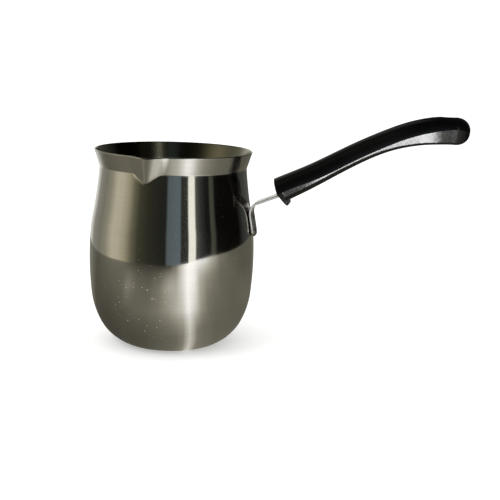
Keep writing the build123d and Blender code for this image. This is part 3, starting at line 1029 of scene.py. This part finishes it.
# the floor card, a painted reflection of the floor with painted shade and painted pools of light: azimuth
# in degrees, then its brightness at four shares of the way to the wall
FLOOR_GLOW = (
    (-232.0, 0.30, 0.30, 0.30, 0.30),
    (-193.0, 0.08, 0.10, 0.11, 0.12),
    (-160.0, 0.075, 0.10, 0.15, 0.21),
    (-141.0, 0.085, 0.13, 0.19, 0.20),
    (-132.0, 0.10, 0.14, 0.33, 0.12),
    (-120.0, 0.10, 0.19, 0.20, 0.08),
    (-105.0, 0.115, 0.22, 0.18, 0.066),
    (-92.0, 0.15, 0.29, 0.29, 0.05),
    (-80.0, 0.18, 0.46, 0.62, 0.066),
    (-72.0, 0.21, 0.68, 0.66, 0.29),
    (-65.0, 0.32, 0.90, 1.05, 1.0),
    (-58.0, 0.85, 1.50, 1.60, 1.6),
    (-50.0, 0.30, 1.05, 1.40, 1.6),
    (-43.0, 0.24, 0.52, 0.72, 1.45),
    (-34.0, 0.21, 0.28, 0.45, 1.25),
    (-25.0, 0.18, 0.23, 0.33, 0.78),
    (-13.0, 0.18, 0.20, 0.21, 0.32),
    (4.0, 0.17, 0.17, 0.19, 0.17),
    (27.0, 0.15, 0.19, 0.14, 0.14),
    (60.0, 0.15, 0.16, 0.14, 0.14),
    (90.0, 0.30, 0.30, 0.30, 0.30),
    (128.0, 0.30, 0.30, 0.30, 0.30),
)
FLOOR_GLOW_AT = (0.13, 0.27, 0.5, 0.95)
FLOOR_WARMTH = (1.0, 0.95, 0.74)  # colour where the floor card is dim
FLOOR_WHITE = (0.95, 1.2)  # colour where it is bright, and the brightness where that is reached


def square(half, height):
    """Corners of a level square about the Z axis."""
    return [(-half, -half, height), (half, -half, height), (half, half, height), (-half, half, height)]


def stage_mesh(name, vertices, faces, shade):
    """A plain mesh that belongs to the studio."""
    mesh = bpy.data.meshes.new(name)
    mesh.from_pydata(vertices, [], faces)
    mesh.materials.append(shade)
    item = bpy.data.objects.new(name, mesh)
    bpy.context.scene.collection.objects.link(item)
    return item


def card(name, vertices, faces, shade, colours):
    """A studio card that only shows in reflections, glowing with the painted brightness of each of its
    points.
    """
    item = stage_mesh(name, vertices, faces, shade)
    layer = item.data.color_attributes.new("glow", "FLOAT_COLOR", "POINT")
    layer.data.foreach_set("color", np.array(colours, np.float32).ravel())
    item.visible_camera = False
    item.visible_diffuse = False
    item.visible_shadow = False
    item.visible_transmission = False
    item.visible_volume_scatter = False


def soft_light(name, place, aim, size, power):
    """A soft area light turned to a point."""
    lamp = bpy.data.lights.new(name, "AREA")
    lamp.shape = "RECTANGLE"
    lamp.size, lamp.size_y = size
    lamp.energy = power
    item = bpy.data.objects.new(name, lamp)
    item.location = place
    item.rotation_euler = (Vector(aim) - Vector(place)).to_track_quat("-Z", "Y").to_euler()
    bpy.context.scene.collection.objects.link(item)
    return item


class COFFEEPOT_OT_studio(bpy.types.Operator):
    """Pale floor, soft lights, reflection cards and the camera"""

    bl_idname = "coffeepot.studio"
    bl_label = "Studio"

    def execute(self, context):
        settings = context.scene.coffee_pot
        scene = context.scene
        scene.view_settings.view_transform = "Standard"
        self.world(scene)
        self.floor(settings.floor_size)
        self.surround()
        self.lights(settings.light_power)
        self.camera(scene)
        return {"FINISHED"}

    def world(self, scene):
        """White surroundings that light the pieces and stay out of their reflections."""
        world = bpy.data.worlds.new("studio")
        world.use_nodes = True
        back = world.node_tree.nodes["Background"]
        back.inputs["Color"].default_value = (1.0, 1.0, 1.0, 1.0)
        back.inputs["Strength"].default_value = WORLD_STRENGTH
        world.cycles_visibility.glossy = False
        scene.world = world

    def floor(self, size):
        """Pale matt floor."""
        s = Shade("floor")
        cloud = s.noise(s.place(), 3.0)
        base = s.mix(cloud, (0.78, 0.78, 0.77, 1.0), (0.8, 0.8, 0.79, 1.0))
        links = {"Base Color": base, "Roughness": 0.9, "Specular IOR Level": 0.0}
        links.update({"Emission Color": (1.0, 1.0, 1.0, 1.0), "Emission Strength": FLOOR_LIFT})
        stage_mesh("floor", square(size / 2, 0.0), [(0, 1, 2, 3)], s.finish(s.gloss(links)))

    def surround(self):
        """Curved wall, dark ceiling and floor card that glow with painted reflections and only show in
        reflections; the floor card also carries painted shade and painted pools of light.
        """
        # painted reflections: cards that glow only for reflections, in place of the room and floor around
        # the pot
        s = Shade("painted_reflection_glow")
        glowing = s.node("ShaderNodeVertexColor", layer_name="glow").outputs[0]
        shade = s.finish(s.node("ShaderNodeEmission", {"Color": glowing, "Strength": 1.0}).outputs[0])
        wall = np.array(SURROUND)
        azimuths = np.arange(wall[0, 0], wall[-1, 0] + 0.1, 0.5)
        reach = np.interp(azimuths, wall[:, 0], wall[:, 1])
        around = [(cos(radians(a)), sin(radians(a))) for a in azimuths]
        tints = np.stack([np.interp(azimuths, wall[:, 0], wall[:, c]) for c in (2, 3, 4)], axis=1)
        points, colours = [], []
        for height, share in SURROUND_FADE:
            points += [(r * x, r * y, height) for r, (x, y) in zip(reach, around)]
            colours += [colour(share * t) for t in tints]
        faces = grid_faces(len(SURROUND_FADE), len(azimuths), closed=False)
        card("surround", points, faces, shade, colours)
        # painted reflection of the floor: its brightness by azimuth and distance paints shade and pools of
        # light
        table = np.array(FLOOR_GLOW)
        rows = np.linspace(0.0, 1.0, 25)
        points, colours = [], []
        for row in rows:
            for a, r, (x, y) in zip(azimuths, reach, around):
                points.append((row * r * x, row * r * y, 0.0002))
                values = [np.interp(a, table[:, 0], table[:, c]) for c in (1, 2, 3, 4)]
                value = float(np.interp(row, FLOOR_GLOW_AT, values))
                white = min(1.0, value / FLOOR_WHITE[1])
                colours.append(colour([value * (w + white * (FLOOR_WHITE[0] - w)) for w in FLOOR_WARMTH]))
        faces = grid_faces(len(rows), len(azimuths), closed=False)
        card("floor_card", points, faces, shade, colours)
        # painted reflection: a dark glowing ceiling, so that what faces up reflects dark
        card("ceiling", square(0.6, CEILING_Z), [(0, 1, 2, 3)], shade, [colour([CEILING_GLOW] * 3)] * 4)

    def lights(self, power):
        """Key light for the whole pot, and a small light for each piece that needs its own."""
        key = soft_light("key_light", (-0.9, -0.9, 1.3), (0.03, 0, 0.06), (0.9, 0.9), KEY_POWER * power)
        key.visible_glossy = False
        for name, piece, place, aim, size, watts in PIECE_LIGHTS:
            lamp = soft_light(name, place, aim, size, watts * power)
            lit = bpy.data.collections.new(name + "_receivers")
            lit.objects.link(bpy.data.objects[piece])
            lamp.light_linking.receiver_collection = lit

    def camera(self, scene):
        """Camera a little above the pot, on the spout's side."""
        lens = bpy.data.cameras.new("camera")
        lens.lens = CAMERA_LENS
        lens.sensor_width = 36.0
        lens.clip_start, lens.clip_end = 0.01, 100.0
        item = bpy.data.objects.new("camera", lens)
        place, aim = Vector(CAMERA_AT), Vector(CAMERA_AIM)
        turn = (aim - place).to_track_quat("-Z", "Y").to_matrix().to_4x4()
        item.matrix_world = Matrix.Translation(place) @ turn @ Matrix.Rotation(radians(CAMERA_ROLL), 4, "Z")
        scene.collection.objects.link(item)
        scene.camera = item


# ---- add-on -----------------------------------------------------------------------------------
class COFFEEPOT_PT_panel(bpy.types.Panel):
    """Sidebar panel with the pot's settings and build steps"""

    bl_idname = "COFFEEPOT_PT_panel"
    bl_label = "Coffee Pot"
    bl_space_type = "VIEW_3D"
    bl_region_type = "UI"
    bl_category = "Coffee Pot"

    def draw(self, context):
        settings = context.scene.coffee_pot
        for name in CoffeePotSettings.__annotations__:
            self.layout.prop(settings, name)
        for step in STEPS:
            self.layout.operator(step.bl_idname)


STEPS = (
    COFFEEPOT_OT_pot,
    COFFEEPOT_OT_strap,
    COFFEEPOT_OT_handle,
    COFFEEPOT_OT_screw,
    COFFEEPOT_OT_studio,
)


def register():
    for kind in (CoffeePotSettings, *STEPS, COFFEEPOT_PT_panel):
        bpy.utils.register_class(kind)
    bpy.types.Scene.coffee_pot = bpy.props.PointerProperty(type=CoffeePotSettings)


def unregister():
    del bpy.types.Scene.coffee_pot
    for kind in reversed((CoffeePotSettings, *STEPS, COFFEEPOT_PT_panel)):
        bpy.utils.unregister_class(kind)


def main():
    """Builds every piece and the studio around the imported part."""
    register()
    bpy.ops.coffeepot.pot()
    bpy.ops.coffeepot.strap()
    bpy.ops.coffeepot.handle()
    bpy.ops.coffeepot.screw()
    bpy.ops.coffeepot.studio()


if __name__ == "__main__":
    main()
